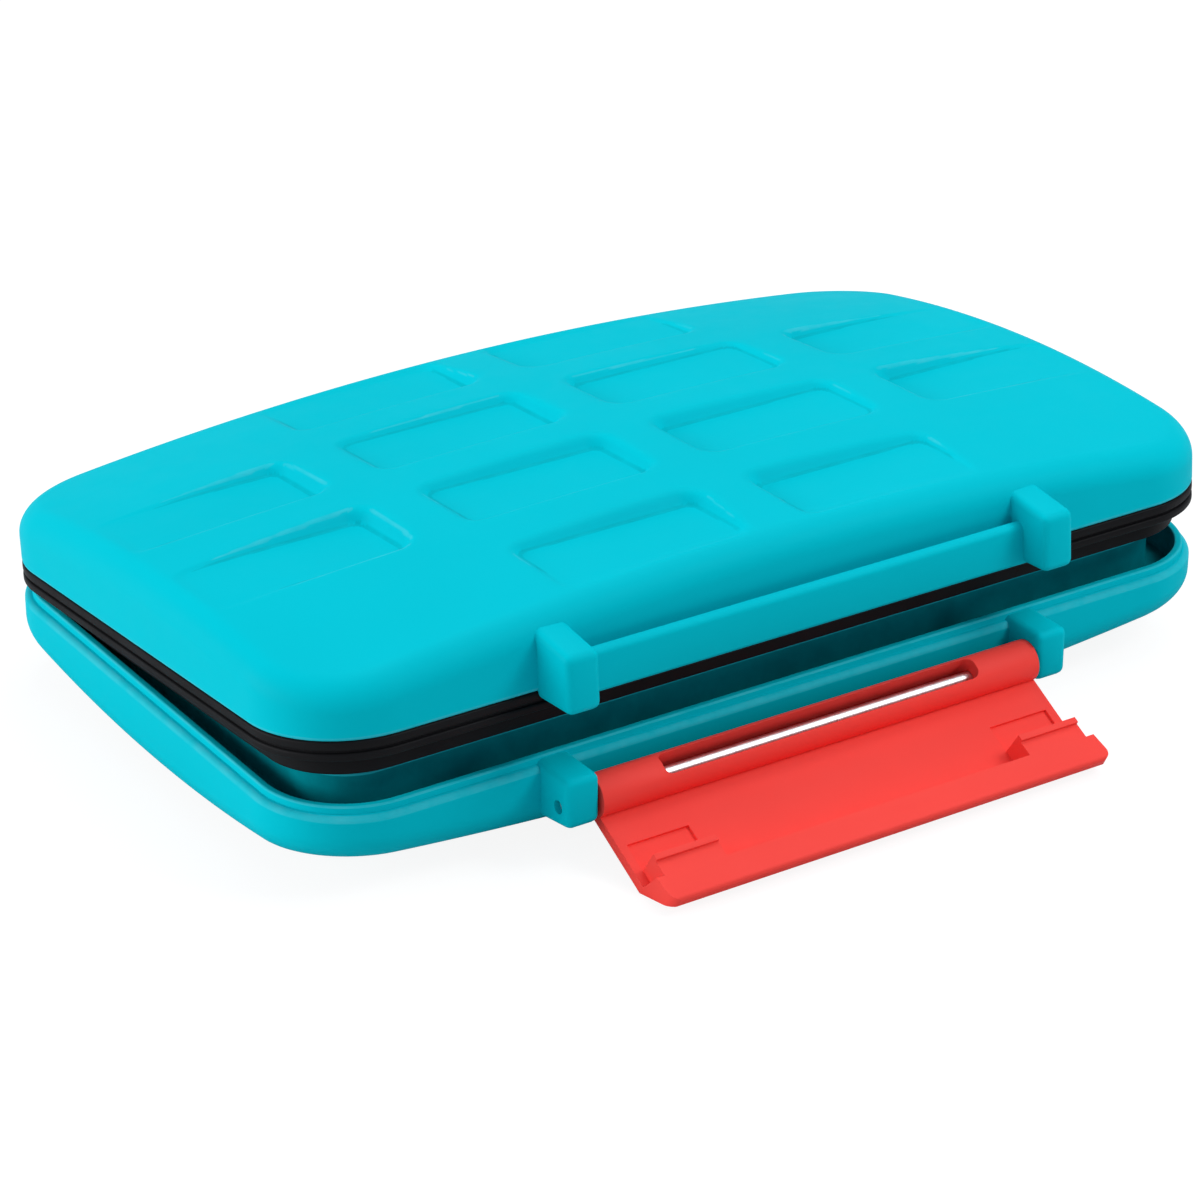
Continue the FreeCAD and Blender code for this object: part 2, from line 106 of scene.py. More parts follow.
class CardCaseLidSizes(bpy.types.PropertyGroup):
    """Sizes of the lid's top and front."""
    crown: length("Crown", "Height of the dome above the lid's rim", 13.7)
    fall_x: length("End fall", "Fall of the dome at the ends", 3.9)
    fall_y: length("Side fall", "Fall of the dome at the sides", 2.9)
    fall_corner: length("Corner fall", "Further fall of the dome at the corners", 1.4)
    edge_round: length("Edge rounding", "Rounding between the dome and the walls", 3.4)
    rim_width: length("Rim width", "Width of the lid's rim", 5.0)
    rim_round: length("Rim rounding", "Rounding of the lid's outer rim edge", 0.5)
    pad_seat: length("Pad seat", "Height of the pad's seat above the lid's rim", 4.6)
    recess_length: length("Recess length", "Length of a recess along X", 28.8)
    recess_width: length("Recess width", "Width of a recess along Y", 14.5)
    recess_pitch_x: length("Column pitch", "Spacing of the recess columns", 35.8)
    recess_pitch_y: length("Row pitch", "Spacing of the recess rows", 21.7)
    recess_corner: length("Recess corner", "Corner radius of a recess", 3.0)
    recess_draft: length("Recess draft", "Width of a recess's sloping wall", 1.2)
    inner_depth: length("Inner depth", "Depth of the middle recesses at their inner corner", 1.65)
    column_depth: length("Column depth", "Depth of the outer columns' recesses", 1.95)
    row_depth: length("Row depth", "Depth of the outer rows' recesses", 1.75)
    recess_soft: length("Recess softness", "Rounding at the foot of the recess walls", 0.6)
    recess_rim_soft: length("Rim softness", "Rounding at the top of the recess walls", 2.0)


class CardCaseFrontSizes(bpy.types.PropertyGroup):
    """Sizes of the latch lugs and the strike ledge."""
    lug_inner: length("Lug inner face", "Distance of the lugs' inner faces from the middle", 33.45)
    lug_width: length("Lug width", "Width of a lug along X", 4.75)
    lug_round: length("Lug rounding", "Rounding of the lugs' free edges", 1.0)
    lug_root: length("Lug root", "How far a base lug reaches into the wall", 1.2)
    base_lug_reach: length("Base lug reach", "How far a base lug stands out from the wall", 6.1)
    base_lug_rise: length("Base lug rise", "Top of a base lug above the rim", 0.7)
    base_lug_height: length("Base lug height", "Height of a base lug's front", 6.7)
    base_lug_root_drop: length("Base lug root drop", "How much lower a base lug ends at its root", 1.1)
    lid_lug_reach: length("Lid lug reach", "How far a lid lug stands out from the wall", 6.9)
    lid_lug_drop: length("Lid lug drop", "Foot of a lid lug below the lid's rim", 1.1)
    lid_lug_height: length("Lid lug height", "Height of a lid lug's front", 7.65)
    lid_lug_top_rise: length("Lid lug top rise", "Rise of a lid lug's top towards the lid", 1.75)
    lid_lug_root: length("Lid lug root", "How far a lid lug reaches into the lid", 2.5)
    ledge_reach: length("Ledge reach", "How far the ledge stands out from the wall", 2.5)
    ledge_drop: length("Ledge drop", "Foot of the ledge below the lid's rim", 1.25)
    ledge_front_height: length("Ledge front height", "Front of the ledge's top above the lid's rim", 4.2)
    ledge_back_height: length("Ledge back height", "Back of the ledge's top above the lid's rim", 5.0)
    ledge_round: length("Ledge rounding", "Rounding of the ledge's front edges", 0.6)
    groove_width: length("Groove width", "Width of the groove behind the ledge", 1.4)
    groove_depth: length("Groove depth", "Depth of the groove behind the ledge", 2.6)
    pin_radius: length("Latch pin radius", "Radius of the latch pin's hole", 0.9)


class CardCaseHingeSizes(bpy.types.PropertyGroup):
    """Sizes of the rear hinge."""
    end_inset: length("End inset", "Distance of a hinge group's middle from the shell's end", 28.0)
    knuckle_radius: length("Knuckle radius", "Outer radius of a knuckle", 2.9)
    lid_knuckle: length("Lid knuckle", "Length of a lid knuckle", 12.0)
    base_knuckle: length("Base knuckle", "Length of a base knuckle", 8.0)
    gap: length("Knuckle gap", "Gap between neighbouring knuckles", 0.4)
    base_gusset: length("Base gusset", "Height of a gusset on the base", 4.6)
    lid_gusset: length("Lid gusset", "Height of a gusset on the lid", 5.2)
    root: length("Gusset root", "How far a gusset reaches into the wall", 1.2)
    pin_radius: length("Hinge pin radius", "Radius of a hinge pin", 1.0)
    clearance: length("Running clearance", "Clearance between a pin and its running bore", 0.05)


class CardCaseColours(bpy.types.PropertyGroup):
    """Colours of the moulded parts."""
    shell: colour("Shell", "Teal of both shells", 0.0, 0.53, 0.625)
    latch: colour("Latch", "Red of the latch", 1.0, 0.068, 0.054)
    seal: colour("Seal", "Black of the seal", 0.006, 0.006, 0.0065)
    tray: colour("Tray", "Black of the tray and pad", 0.02, 0.02, 0.022)
    pin: colour("Pins", "Steel of the pins", 0.86, 0.86, 0.87)


def settings_group(kind, name, description):
    """A property that holds one group of settings."""
    return bpy.props.PointerProperty(type=kind, name=name, description=description)


class CardCaseSettings(bpy.types.PropertyGroup):
    """All settings of the case."""
    shell: settings_group(CardCaseShellSizes, "Shells", "Sizes of both shells")
    lid: settings_group(CardCaseLidSizes, "Lid", "Sizes of the lid")
    front: settings_group(CardCaseFrontSizes, "Front", "Sizes of the front")
    hinge: settings_group(CardCaseHingeSizes, "Hinge", "Sizes of the hinge")
    colours: settings_group(CardCaseColours, "Colours", "Colours of the parts")


# Places of the lid

def lid_rim(shell):
    """Height of the closed lid's rim."""
    return shell.rim_height + shell.closed_gap


def lid_turn():
    """Turns a point of the closed lid to its rest pose."""
    joint = JOINTS["lid_hinge"]
    pivot = Vector(joint["pos_m"])
    angle = -math.radians(joint["range_deg"][0])
    turn = Matrix.Rotation(angle, 4, Vector(joint["axis"]))
    return Matrix.Translation(pivot) @ turn @ Matrix.Translation(-pivot)


# Meshes

def grid_lines(half, radius, step, fine_step, fine_spans):
    """Grid lines from side to side, closer together in the spans given for one half."""
    straight = half - radius
    stops = [0.0]
    for span in fine_spans:
        stops.extend(span)
    stops.append(straight)
    line = [0.0]
    for place in range(len(stops) - 1):
        spacing = fine_step if place % 2 else step
        cells = max(1, round((stops[place + 1] - stops[place]) / spacing))
        line.extend(np.linspace(stops[place], stops[place + 1], cells + 1)[1:])
    line.extend(np.linspace(straight, half, max(3, round(radius / step)) + 1)[1:])
    return np.concatenate([-np.array(line[:0:-1]), line])


def plan_grid(half_x, half_y, radius, step, fine_step=0.0, spans_x=(), spans_y=()):
    """Flat quad grid over a rectangle with round corners.

    Returns points, quads, the boundary loop and the outward direction at each loop point.
    """
    line_x = grid_lines(half_x, radius, step, fine_step, spans_x)
    line_y = grid_lines(half_y, radius, step, fine_step, spans_y)
    x, y = np.meshgrid(line_x, line_y, indexing="xy")
    past_x = np.clip((np.abs(x) - (half_x - radius)) / radius, 0.0, 1.0)
    past_y = np.clip((np.abs(y) - (half_y - radius)) / radius, 0.0, 1.0)
    tiny = 1e-9
    nearly_all = 0.999
    in_corner = (past_x > tiny) & (past_y > tiny)
    far = np.maximum(past_x, past_y)
    wide = past_x >= past_y
    share = np.minimum(past_x, past_y) / np.where(far > 0, far, 1.0)
    angle = np.where(wide, share * math.pi / 4, math.pi / 2 - share * math.pi / 4)
    corner_x = np.sign(x) * (half_x - radius + radius * far * np.cos(angle))
    corner_y = np.sign(y) * (half_y - radius + radius * far * np.sin(angle))
    x = np.where(in_corner, corner_x, x)
    y = np.where(in_corner, corner_y, y)
    across = len(line_x)
    along = len(line_y)
    index = np.arange(across * along).reshape(along, across)
    corners = [index[:-1, :-1], index[:-1, 1:], index[1:, 1:], index[1:, :-1]]
    quads = np.stack(corners, axis=-1).reshape(-1, 4)
    loop = np.concatenate([index[0, :-1], index[:-1, -1], index[-1, :0:-1], index[:0:-1, 0]])
    flat_corner = in_corner.ravel()[loop]
    side_x = np.sign(x.ravel()[loop])
    side_y = np.sign(y.ravel()[loop])
    loop_angle = angle.ravel()[loop]
    on_end = past_x.ravel()[loop] > nearly_all
    out_x = np.where(flat_corner, side_x * np.cos(loop_angle), np.where(on_end, side_x, 0.0))
    out_y = np.where(flat_corner, side_y * np.sin(loop_angle), np.where(on_end, 0.0, side_y))
    points = np.stack([x.ravel(), y.ravel()], axis=-1)
    return points, quads, loop, np.stack([out_x, out_y], axis=-1)


def rounded_profile(corners, segments=4):
    """Points along an (inset, height) path whose corners are rounded by their own radius."""
    path = []
    count = len(corners)
    for place in range(count):
        here = np.array(corners[place][:2])
        radius = corners[place][2]
        if place == 0 or place == count - 1 or radius == 0.0:
            path.append(tuple(here))
            continue
        before = np.array(corners[place - 1][:2])
        after = np.array(corners[place + 1][:2])
        back = (before - here) / np.linalg.norm(before - here)
        ahead = (after - here) / np.linalg.norm(after - here)
        half_angle = math.acos(float(np.clip(back @ ahead, -1.0, 1.0))) / 2
        reach = radius / math.tan(half_angle)
        centre_way = (back + ahead) / np.linalg.norm(back + ahead)
        centre = here + centre_way * radius / math.sin(half_angle)
        start = here + back * reach
        end = here + ahead * reach
        first = start - centre
        last = end - centre
        sweep = math.atan2(first[0] * last[1] - first[1] * last[0], float(first @ last))
        for step in range(segments + 1):
            angle = sweep * step / segments
            turned = np.array([first[0] * math.cos(angle) - first[1] * math.sin(angle),
                               first[0] * math.sin(angle) + first[1] * math.cos(angle)])
            path.append(tuple(centre + turned))
    return path


def shell_skin(points, quads, loop, rings):
    """Joins a grid to rings of points around it and closes the last ring with a fan."""
    count = len(loop)
    vertices = [points]
    faces = [tuple(quad) for quad in quads]
    inner = np.array(loop)
    start = len(points)
    for ring in rings:
        vertices.append(ring)
        outer = start + np.arange(count)
        after_inner = np.roll(inner, -1)
        after_outer = np.roll(outer, -1)
        faces.extend(zip(inner.tolist(), outer.tolist(), after_outer.tolist(), after_inner.tolist()))
        inner = outer
        start += count
    middle = np.mean(rings[-1], axis=0, keepdims=True)
    vertices.append(middle)
    after_inner = np.roll(inner, -1)
    faces.extend((here, start, after) for here, after in zip(inner.tolist(), after_inner.tolist()))
    return np.concatenate(vertices), faces


def mesh_from(name, vertices, faces):
    """A mesh from points and faces."""
    mesh = bpy.data.meshes.new(name)
    mesh.from_pydata([tuple(vertex) for vertex in vertices], [], faces)
    mesh.update()
    return mesh


def new_object(name, mesh):
    """An object for the mesh, linked to the scene."""
    made = bpy.data.objects.new(name, mesh)
    bpy.context.scene.collection.objects.link(made)
    return made


def soft_bar(profile, x_from, x_to, rounding, chosen=None, segments=4):
    """Bar along X over a closed (y, z) profile, with its chosen edges, or all of them, rounded."""
    work = bmesh.new()
    near = [work.verts.new((x_from, y, z)) for y, z in profile]
    far = [work.verts.new((x_to, y, z)) for y, z in profile]
    count = len(profile)
    work.faces.new(near)
    work.faces.new(list(reversed(far)))
    for place in range(count):
        after = (place + 1) % count
        work.faces.new((near[after], near[place], far[place], far[after]))
    bmesh.ops.recalc_face_normals(work, faces=work.faces)
    edges = [edge for edge in work.edges if chosen is None or chosen(edge)]
    bmesh.ops.bevel(work, geom=edges, offset=rounding, segments=segments, profile=0.5, affect="EDGES",
                    clamp_overlap=True)
    return work


def reaches_front(front):
    """Test for the edges that touch a bar's front face."""
    return lambda edge: min(vertex.co.y for vertex in edge.verts) < front + SAME_PLACE


def along_front(front):
    """Test for the edges that run along X on a bar's front face."""
    return lambda edge: max(vertex.co.y for vertex in edge.verts) < front + SAME_PLACE and (
        abs(edge.verts[0].co.x - edge.verts[1].co.x) > SAME_PLACE)


def round_rod(radius, x_from, x_to, y, z, rounding, sides=48):
    """Rod along X with rounded end edges."""
    work = bmesh.new()
    turn = Matrix.Translation(((x_from + x_to) / 2, y, z)) @ Matrix.Rotation(math.pi / 2, 4, "Y")
    bmesh.ops.create_cone(work, cap_ends=True, segments=sides, radius1=radius, radius2=radius,
                          depth=x_to - x_from, matrix=turn)
    if rounding > 0.0:
        ends = [edge for edge in work.edges
                if abs(edge.verts[0].co.x - edge.verts[1].co.x) < WELD_GAP]
        bmesh.ops.bevel(work, geom=ends, offset=rounding, segments=3, profile=0.5, affect="EDGES")
    return work


def as_mesh(work, name):
    """A mesh from working geometry, which is then freed."""
    mesh = bpy.data.meshes.new(name)
    work.to_mesh(mesh)
    work.free()
    return mesh


def carved(body_mesh, cutter_mesh, operation="DIFFERENCE"):
    """The body mesh with the cutter taken away from it or joined to it."""
    body = new_object("carve_body", body_mesh)
    cutter = new_object("carve_cutter", cutter_mesh)
    cut = body.modifiers.new("cut", "BOOLEAN")
    cut.operation = operation
    cut.solver = "EXACT"
    cut.object = cutter
    graph = bpy.context.evaluated_depsgraph_get()
    result = bpy.data.meshes.new_from_object(body.evaluated_get(graph))
    bpy.data.objects.remove(body)
    bpy.data.objects.remove(cutter)
    return result


def joined(name, meshes, turn=None):
    """One mesh from several, turned to its place."""
    work = bmesh.new()
    for mesh in meshes:
        work.from_mesh(mesh)
    if turn is not None:
        bmesh.ops.transform(work, matrix=turn, verts=work.verts)
    return as_mesh(work, name)


def finished(name, mesh, material, body, nodes):
    """A finished piece: smooth, with its finish, riding on its body in place of its nodes."""
    piece = new_object(name, mesh)
    mesh.materials.clear()
    mesh.materials.append(material)
    for polygon in mesh.polygons:
        polygon.use_smooth = True
    mesh.set_sharp_from_angle(angle=SMOOTH_ANGLE)
    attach(piece, body)
    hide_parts(*nodes)
    return piece


# Geometry node helpers

class NodeSums:
    """Builds sums in a geometry tree out of math nodes."""

    def __init__(self, tree):
        self.tree = tree

    def math(self, operation, first, second=None, third=None):
        node = self.tree.nodes.new("ShaderNodeMath")
        node.operation = operation
        for socket, value in zip(node.inputs, (first, second, third)):
            if value is None:
                continue
            if isinstance(value, (int, float)):
                socket.default_value = value
            else:
                self.tree.links.new(value, socket)
        return node.outputs[0]

    def add(self, first, second):
        return self.math("ADD", first, second)

    def minus(self, first, second):
        return self.math("SUBTRACT", first, second)

    def times(self, first, second):
        return self.math("MULTIPLY", first, second)

    def over(self, first, second):
        return self.math("DIVIDE", first, second)

    def square(self, value):
        return self.math("MULTIPLY", value, value)

    def attribute(self, name):
        node = self.tree.nodes.new("GeometryNodeInputNamedAttribute")
        node.data_type = "FLOAT"
        node.inputs["Name"].default_value = name
        return node.outputs["Attribute"]


def new_tree(name, inputs):
    """A geometry tree with named length inputs."""
    tree = bpy.data.node_groups.new(name, "GeometryNodeTree")
    tree.interface.new_socket("Geometry", in_out="INPUT", socket_type="NodeSocketGeometry")
    for words in inputs:
        tree.interface.new_socket(words, in_out="INPUT", socket_type="NodeSocketFloat")
    tree.interface.new_socket("Finish", in_out="INPUT", socket_type="NodeSocketMaterial")
    tree.interface.new_socket("Geometry", in_out="OUTPUT", socket_type="NodeSocketGeometry")
    entry = tree.nodes.new("NodeGroupInput")
    way_out = tree.nodes.new("NodeGroupOutput")
    return tree, entry, way_out


def close_tree(tree, entry, way_out, geometry):
    """Ends a tree in Realize Instances and Set Material."""
    realize = tree.nodes.new("GeometryNodeRealizeInstances")
    finish = tree.nodes.new("GeometryNodeSetMaterial")
    tree.links.new(geometry, realize.inputs[0])
    tree.links.new(realize.outputs[0], finish.inputs["Geometry"])
    tree.links.new(entry.outputs["Finish"], finish.inputs["Material"])
    tree.links.new(finish.outputs[0], way_out.inputs[0])


def grown(source, tree, values):
    """The plain mesh that a tree grows from an object, which is then removed."""
    grow = source.modifiers.new("grow", "NODES")
    grow.node_group = tree
    for item in tree.interface.items_tree:
        if item.in_out == "INPUT" and item.name in values:
            grow[item.identifier] = values[item.name]
    graph = bpy.context.evaluated_depsgraph_get()
    mesh = bpy.data.meshes.new_from_object(source.evaluated_get(graph))
    source.modifiers.remove(grow)
    bpy.data.objects.remove(source)
    return mesh


# Inputs of the lid's tree, with the lid setting that each one takes, if it takes one
LID_INPUTS = {"Half length": None, "Half width": None, "Lid rim": None, "Crown": "crown",
              "End fall": "fall_x", "Side fall": "fall_y", "Corner fall": "fall_corner",
              "Edge rounding": "edge_round", "Recess length": "recess_length",
              "Recess width": "recess_width", "Column pitch": "recess_pitch_x",
              "Row pitch": "recess_pitch_y", "Recess corner": "recess_corner",
              "Recess draft": "recess_draft", "Inner depth": "inner_depth",
              "Column depth": "column_depth", "Row depth": "row_depth",
              "Recess softness": "recess_soft", "Rim softness": "recess_rim_soft"}


def lid_rule_tree():
    """Tree that lifts a flat plan to the domed lid top with its twelve recesses."""
    tree, entry, way_out = new_tree("lid_dome_rule", LID_INPUTS)
    size = {words: entry.outputs[words] for words in LID_INPUTS}
    sums = NodeSums(tree)
    place = tree.nodes.new("GeometryNodeInputPosition")
    split = tree.nodes.new("ShaderNodeSeparateXYZ")
    tree.links.new(place.outputs[0], split.inputs[0])
    x, y, low = split.outputs
    side_x = sums.math("ABSOLUTE", x)
    side_y = sums.math("ABSOLUTE", y)

    def dome(at_x, at_y):
        in_x = sums.square(sums.over(at_x, size["Half length"]))
        in_y = sums.square(sums.over(at_y, size["Half width"]))
        fall = sums.add(sums.times(in_x, size["End fall"]), sums.times(in_y, size["Side fall"]))
        fall = sums.add(fall, sums.times(sums.times(in_x, in_y), size["Corner fall"]))
        return sums.minus(size["Crown"], fall)

    radius = size["Edge rounding"]
    short_of_round = sums.math("MAXIMUM", sums.minus(radius, sums.attribute("edge_inset")), 0.0)
    arc = sums.math("MAXIMUM", sums.minus(sums.square(radius), sums.square(short_of_round)), 0.0)
    drop = sums.minus(radius, sums.math("SQRT", arc))
    top = sums.minus(dome(side_x, side_y), drop)

    outer_column = sums.math("GREATER_THAN", side_x, size["Column pitch"])
    outer_row = sums.math("GREATER_THAN", side_y, size["Row pitch"])
    middle_x = sums.times(size["Column pitch"], sums.add(outer_column, 0.5))
    middle_y = sums.times(size["Row pitch"], sums.add(outer_row, 0.5))
    half_long = sums.times(size["Recess length"], 0.5)
    half_wide = sums.times(size["Recess width"], 0.5)
    deeper_column = sums.times(outer_column, sums.minus(size["Column depth"], size["Inner depth"]))
    deeper_row = sums.times(outer_row, sums.minus(size["Row depth"], size["Inner depth"]))
    depth = sums.add(size["Inner depth"], sums.add(deeper_column, deeper_row))
    floor = sums.minus(dome(sums.minus(middle_x, half_long), sums.minus(middle_y, half_wide)), depth)

    floor_corner = sums.minus(size["Recess corner"], size["Recess draft"])
    shrink = sums.add(size["Recess draft"], floor_corner)
    past_x = sums.minus(sums.math("ABSOLUTE", sums.minus(side_x, middle_x)), sums.minus(half_long, shrink))
    past_y = sums.minus(sums.math("ABSOLUTE", sums.minus(side_y, middle_y)), sums.minus(half_wide, shrink))
    out_x = sums.math("MAXIMUM", past_x, 0.0)
    out_y = sums.math("MAXIMUM", past_y, 0.0)
    outside = sums.math("SQRT", sums.add(sums.square(out_x), sums.square(out_y)))
    inside = sums.math("MINIMUM", sums.math("MAXIMUM", past_x, past_y), 0.0)
    away = sums.minus(sums.add(outside, inside), floor_corner)
    slope = sums.over(depth, size["Recess draft"])
    climb = sums.times(slope, sums.math("SMOOTH_MAX", away, 0.0, size["Recess softness"]))
    # Where an outer column meets an outer row, a whole metre lifts the cut clear of the dome
    no_cell = sums.times(outer_column, outer_row)
    cut = sums.add(sums.add(floor, climb), no_cell)
    skin = sums.math("SMOOTH_MIN", top, cut, size["Rim softness"])

    share = sums.attribute("wall_share")
    height = sums.add(low, sums.times(share, sums.minus(skin, low)))
    join = tree.nodes.new("ShaderNodeCombineXYZ")
    tree.links.new(x, join.inputs[0])
    tree.links.new(y, join.inputs[1])
    tree.links.new(sums.add(height, size["Lid rim"]), join.inputs[2])
    lift = tree.nodes.new("GeometryNodeSetPosition")
    tree.links.new(entry.outputs["Geometry"], lift.inputs["Geometry"])
    tree.links.new(join.outputs[0], lift.inputs["Position"])
    close_tree(tree, entry, way_out, lift.outputs[0])
    return tree


# Section of the seal in millimetres, by the inputs of its tree
SEAL_SIZES = {"Flange height": 2.6, "Flange width": 4.5, "Groove drop": 1.2, "Groove height": 0.35,
              "Groove depth": 0.4, "Skirt inset": 2.5, "Skirt width": 1.6, "Skirt drop": 2.8,
              "Softness": 0.3}
SEAL_INPUTS = ("Lid rim", *SEAL_SIZES)


def seal_sweep_tree():
    """Tree that sweeps the seal's ribs, core and skirt along the shell outline."""
    tree, entry, way_out = new_tree("seal_sweep", SEAL_INPUTS)
    size = {words: entry.outputs[words] for words in SEAL_INPUTS}
    sums = NodeSums(tree)
    upright = tree.nodes.new("GeometryNodeSetCurveNormal")
    upright.mode = "Z_UP"
    tree.links.new(entry.outputs["Geometry"], upright.inputs["Curve"])
    gather = tree.nodes.new("GeometryNodeJoinGeometry")

    def sweep(inset_from, inset_to, top, bottom):
        """One rib whose section runs between two insets and two heights."""
        section = tree.nodes.new("GeometryNodeCurvePrimitiveQuadrilateral")
        section.mode = "POINTS"
        corners = ((inset_from, top), (inset_to, top), (inset_to, bottom), (inset_from, bottom))
        for number, (inset, height) in enumerate(corners):
            spot = tree.nodes.new("ShaderNodeCombineXYZ")
            tree.links.new(sums.times(inset, -1.0), spot.inputs[0])
            tree.links.new(sums.times(height, -1.0), spot.inputs[1])
            tree.links.new(spot.outputs[0], section.inputs["Point %d" % (number + 1)])
        soften = tree.nodes.new("GeometryNodeFilletCurve")
        soften.mode = "POLY"
        soften.inputs["Count"].default_value = 4
        soften.inputs["Limit Radius"].default_value = True
        tree.links.new(section.outputs[0], soften.inputs["Curve"])
        tree.links.new(size["Softness"], soften.inputs["Radius"])
        rib = tree.nodes.new("GeometryNodeCurveToMesh")
        tree.links.new(upright.outputs[0], rib.inputs["Curve"])
        tree.links.new(soften.outputs[0], rib.inputs["Profile Curve"])
        tree.links.new(rib.outputs[0], gather.inputs[0])

    rim = size["Lid rim"]
    flange_low = sums.minus(rim, size["Flange height"])
    groove_top = sums.minus(rim, size["Groove drop"])
    groove_low = sums.minus(groove_top, size["Groove height"])
    skirt_end = sums.add(size["Skirt inset"], size["Skirt width"])
    sweep(0.0, size["Flange width"], rim, groove_top)
    sweep(0.0, size["Flange width"], groove_low, flange_low)
    sweep(size["Groove depth"], sums.minus(size["Flange width"], size["Groove depth"]),
          sums.add(groove_top, size["Softness"]), sums.minus(groove_low, size["Softness"]))
    sweep(size["Skirt inset"], skirt_end, sums.add(flange_low, size["Softness"]),
          sums.minus(flange_low, size["Skirt drop"]))
    close_tree(tree, entry, way_out, gather.outputs[0])
    return tree


# Finishes

# Span that cloudy noise mostly keeps to, and how rough its finer layers are
NOISE_LOW = 0.3
NOISE_HIGH = 0.7
NOISE_ROUGHNESS = 0.55
# Numbers of a mix node's colour sockets
MIX_FIRST = 6
MIX_SECOND = 7
MIX_RESULT = 2


def new_finish(name):
    """A new material with its tree, its shader and the place on the object."""
    finish = bpy.data.materials.new(name)
    finish.use_nodes = True
    nodes = finish.node_tree.nodes
    place = nodes.new("ShaderNodeTexCoord")
    return finish, finish.node_tree, nodes["Principled BSDF"], place.outputs["Object"]


def noise(tree, place, scale, detail=3.0):
    """Cloudy noise over the object."""
    node = tree.nodes.new("ShaderNodeTexNoise")
    node.inputs["Scale"].default_value = scale
    node.inputs["Detail"].default_value = detail
    node.inputs["Roughness"].default_value = NOISE_ROUGHNESS
    tree.links.new(place, node.inputs["Vector"])
    return node.outputs["Fac"]


def spread(tree, value, low=0.0, high=1.0):
    """Noise stretched to run from a low to a high value."""
    node = tree.nodes.new("ShaderNodeMapRange")
    node.inputs["From Min"].default_value = NOISE_LOW
    node.inputs["From Max"].default_value = NOISE_HIGH
    node.inputs["To Min"].default_value = low
    node.inputs["To Max"].default_value = high
    tree.links.new(value, node.inputs["Value"])
    return node.outputs["Result"]


def scaled(base, factor):
    """A colour made darker or brighter."""
    return [channel * factor for channel in base]


def tinted(tree, amount, first, second):
    """A tint between two colours, of which the first may be a tint made before."""
    node = tree.nodes.new("ShaderNodeMix")
    node.data_type = "RGBA"
    if isinstance(first, bpy.types.NodeSocket):
        tree.links.new(first, node.inputs[MIX_FIRST])
    else:
        node.inputs[MIX_FIRST].default_value = (*first, 1.0)
    node.inputs[MIX_SECOND].default_value = (*second, 1.0)
    tree.links.new(amount, node.inputs["Factor"])
    return node.outputs[MIX_RESULT]


def bumped(tree, shader, height, strength, distance):
    """Gives a shader a fine relief."""
    node = tree.nodes.new("ShaderNodeBump")
    node.inputs["Strength"].default_value = strength
    node.inputs["Distance"].default_value = distance
    tree.links.new(height, node.inputs["Height"])
    tree.links.new(node.outputs[0], shader.inputs["Normal"])


def marked(tree, place, tint, mark, colour_there, least, most):
    """The tint, changed unevenly to another colour where a mark lies."""
    marks = tree.nodes.new("ShaderNodeAttribute")
    marks.attribute_name = mark
    amount = tree.nodes.new("ShaderNodeMath")
    amount.operation = "MULTIPLY"
    tree.links.new(marks.outputs["Fac"], amount.inputs[0])
    tree.links.new(spread(tree, noise(tree, place, scale=260.0), least, most), amount.inputs[1])
    return tinted(tree, amount.outputs[0], tint, colour_there)


def moulded_plastic(name, shade, roughness, specular):
    """Satin moulded plastic, made once and shared.

    It has faint flow marks, a fine spark-eroded grain, a painted highlight on rounded edges, and painted
    shade in creases and in the moat.
    """
    made = bpy.data.materials.get(name)
    if made:
        return made
    finish, tree, shader, place = new_finish(name)
    base = list(shade)
    highlight_towards_white = 0.16
    paler = [channel + (1.0 - channel) * highlight_towards_white for channel in base]
    flow = spread(tree, noise(tree, place, scale=28.0, detail=2.0))
    tint = tinted(tree, flow, scaled(base, 0.965), base)
    # Painted highlight: rounded convex edges are tinted paler, in place of the light they catch.
    tint = marked(tree, place, tint, "edge_highlight", paler, least=0.05, most=0.25)
    # Painted shade: concave creases are tinted darker, in place of the shade that falls in them.
    tint = marked(tree, place, tint, "crease_shade", scaled(base, 0.55), least=0.2, most=0.45)
    # Painted shade: the moat between lip and tongue is tinted darker, in place of the shadow under the
    # lid.
    tint = marked(tree, place, tint, "deep_shade", scaled(base, 0.4), least=0.8, most=1.0)
    tree.links.new(tint, shader.inputs["Base Color"])
    gloss = spread(tree, noise(tree, place, scale=190.0, detail=4.0), roughness - 0.04, roughness + 0.05)
    tree.links.new(gloss, shader.inputs["Roughness"])
    shader.inputs["Specular IOR Level"].default_value = specular
    grain = noise(tree, place, scale=5200.0, detail=2.0)
    bumped(tree, shader, grain, strength=0.12, distance=0.03 * MM)
    return finish


def soft_rubber(name, shade, dust, grain, roughness):
    """Matt rubber with a fine grain and dusty patches."""
    finish, tree, shader, place = new_finish(name)
    base = list(shade)
    patches = spread(tree, noise(tree, place, scale=60.0, detail=4.0))
    tree.links.new(tinted(tree, patches, base, scaled(base, dust)), shader.inputs["Base Color"])
    gloss = spread(tree, noise(tree, place, scale=140.0), roughness - 0.06, roughness + 0.08)
    tree.links.new(gloss, shader.inputs["Roughness"])
    shader.inputs["Specular IOR Level"].default_value = 0.08
    bumped(tree, shader, noise(tree, place, grain), strength=0.3, distance=0.05 * MM)
    return finish


